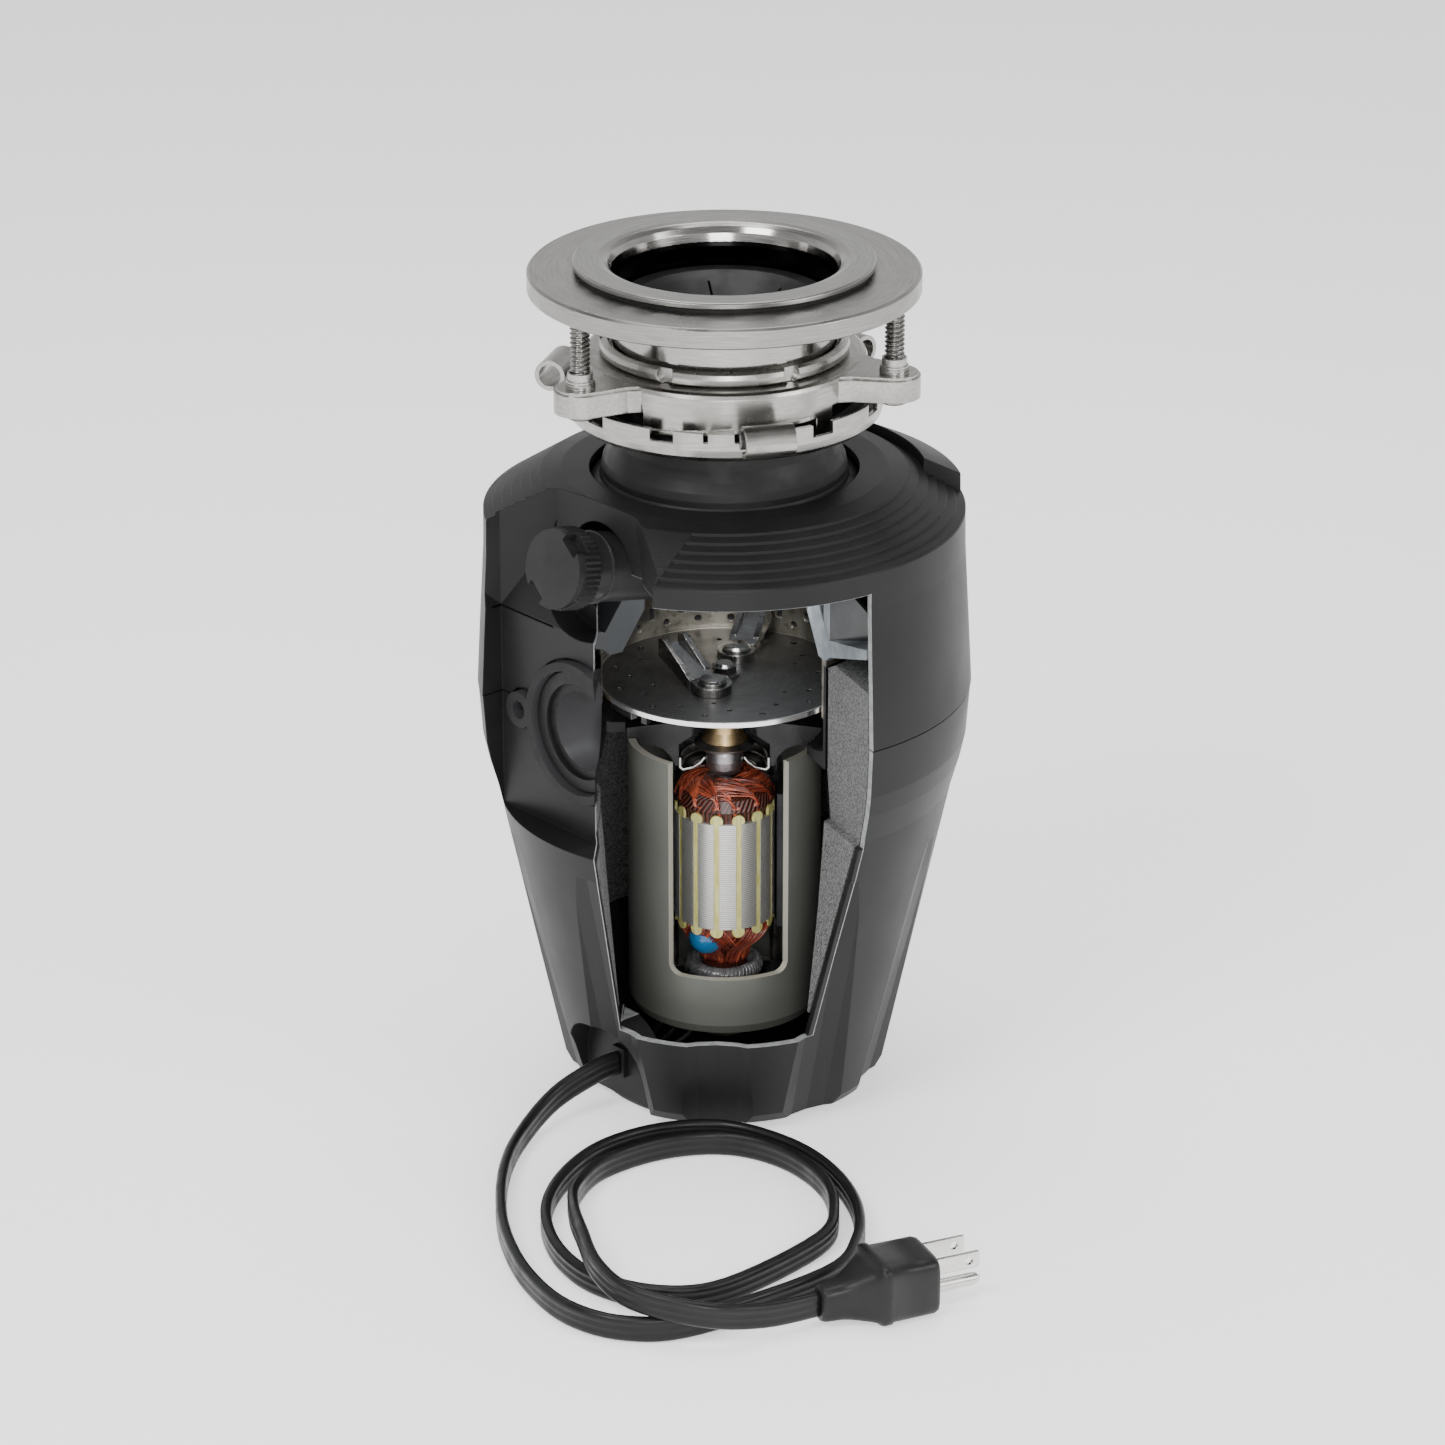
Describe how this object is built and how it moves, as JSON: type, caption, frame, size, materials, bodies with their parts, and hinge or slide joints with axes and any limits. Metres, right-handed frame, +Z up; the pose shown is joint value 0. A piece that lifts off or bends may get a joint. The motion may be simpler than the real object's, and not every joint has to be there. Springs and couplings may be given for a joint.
{
  "type": "kitchen garbage disposal",
  "caption": "Cutaway kitchen garbage disposal standing on its base: sink mount, grind chamber, brushed motor, capped dishwasher inlet and a coiled mains cord with plug.",
  "frame": {"origin": "centre of the base on the surface that the unit stands on", "axes": "+Z up along the motor axis, towards the sink; -X towards the drain outlet, the dishwasher inlet and the cord exit"},
  "size_m": [0.2813, 0.3022, 0.3362],
  "materials": {
    "nickel": "brushed nickel",
    "stud_steel": "oiled",
    "shell_plastic": "fine matte",
    "black_plastic": "satin",
    "black_rubber": "matte",
    "foam": "open cell foam",
    "hopper_plastic": "moulded, cut face",
    "ring_steel": "stained stainless",
    "polished_steel": "polished",
    "bronze": "dull",
    "sintered_steel": "sintered",
    "core_steel": "laminated edge",
    "liner_paper": "paper",
    "copper_wire": "enamelled wire",
    "blue_epoxy": "gloss",
    "commutator_copper": "turned copper",
    "lead_grey": "varnished wire",
    "can_paint": "satin paint",
    "magnet": "ferrite",
    "carbon": "carbon",
    "red_plastic": "gloss"
  },
  "bodies": {
    "body": {"sink_flange": "nickel", "flange_gasket": "black_rubber", "support_plate": "nickel", "splash_baffle": "black_rubber", "snap_ring": "nickel", "upper_mount_ring": "nickel", "mount_studs": "stud_steel", "stud_collars": "nickel", "neck_cushion": "black_rubber", "upper_housing": "shell_plastic", "upper_shoulder": "shell_plastic", "lower_rim": "shell_plastic", "lower_housing": "shell_plastic", "lower_base": "shell_plastic", "sound_foam": "foam", "hopper": "hopper_plastic", "hopper_neck": "hopper_plastic", "hopper_ribs": "hopper_plastic", "discharge_chamber": "black_plastic", "grind_ring": "ring_steel", "outlet_gasket": "black_rubber", "dishwasher_inlet": "black_plastic", "motor_can": "can_paint", "magnets": "magnet", "upper_end_frame": "black_plastic", "upper_bearing": "sintered_steel", "bearing_retainer": "stud_steel", "shaft_seal": "black_rubber", "lower_end_bell": "can_paint", "lower_bearing": "bronze", "brush_holders": "black_plastic", "brush_springs": "bronze", "overload_protector": "black_plastic", "base_cover": "black_plastic", "case_screws": "stud_steel", "strain_relief": "black_rubber", "lead_wires": "black_rubber", "cord": "black_rubber", "plug_body": "black_rubber", "plug_prongs": "polished_steel"},
    "rotor": {"turntable": "polished_steel", "impeller_rivets": "polished_steel", "hub_nut": "polished_steel", "hub_spool": "bronze", "slinger_washer": "stud_steel", "rotor_shaft": "polished_steel", "armature_core": "core_steel", "slot_liners": "liner_paper", "top_windings": "copper_wire", "bottom_windings": "copper_wire", "balance_epoxy": "blue_epoxy", "commutator": "commutator_copper", "commutator_leads": "lead_grey"},
    "impeller_a": {"impeller_a": "polished_steel"},
    "impeller_b": {"impeller_b": "polished_steel"},
    "lock_ring": {"lock_ring": "nickel"},
    "inlet_cap": {"inlet_cap": "black_plastic"},
    "reset_button": {"reset_button": "red_plastic"},
    "brush_a": {"brush_a": "carbon"},
    "brush_b": {"brush_b": "carbon"}
  },
  "joints": [
    {"name": "rotor_spin", "type": "hinge", "parent": "body", "child": "rotor", "pos_m": [0, 0, 0.1], "axis": [0, 0, 1], "continuous": true},
    {"name": "impeller_a_swing", "type": "hinge", "parent": "rotor", "child": "impeller_a", "pos_m": [-0.0151, -0.0098, 0.1695], "axis": [0, 0, 1], "range_deg": [0, 190]},
    {"name": "impeller_b_swing", "type": "hinge", "parent": "rotor", "child": "impeller_b", "pos_m": [0.0151, 0.0098, 0.1695], "axis": [0, 0, 1], "range_deg": [-75, 75]},
    {"name": "lock_ring_turn", "type": "hinge", "parent": "body", "child": "lock_ring", "pos_m": [0, 0, 0.281], "axis": [0, 0, 1], "range_deg": [-28, 0]},
    {"name": "cap_twist", "type": "hinge", "parent": "body", "child": "inlet_cap", "pos_m": [-0.062, 0, 0.228], "axis": [-0.9781, 0, 0.2079], "range_deg": [0, 90]},
    {"name": "reset_press", "type": "slide", "parent": "body", "child": "reset_button", "axis": [0, 0, 1], "range_m": [0, 0.003], "stiffness_N_per_m": 80, "springref_m": -0.004},
    {"name": "brush_a_slide", "type": "slide", "parent": "body", "child": "brush_a", "axis": [-0.829, 0.5592, 0], "range_m": [0, 0.004], "stiffness_N_per_m": 60, "springref_m": -0.006},
    {"name": "brush_b_slide", "type": "slide", "parent": "body", "child": "brush_b", "axis": [0.829, -0.5592, 0], "range_m": [0, 0.004], "stiffness_N_per_m": 60, "springref_m": -0.006, "deforming": ["brush_springs"]}
  ]
}
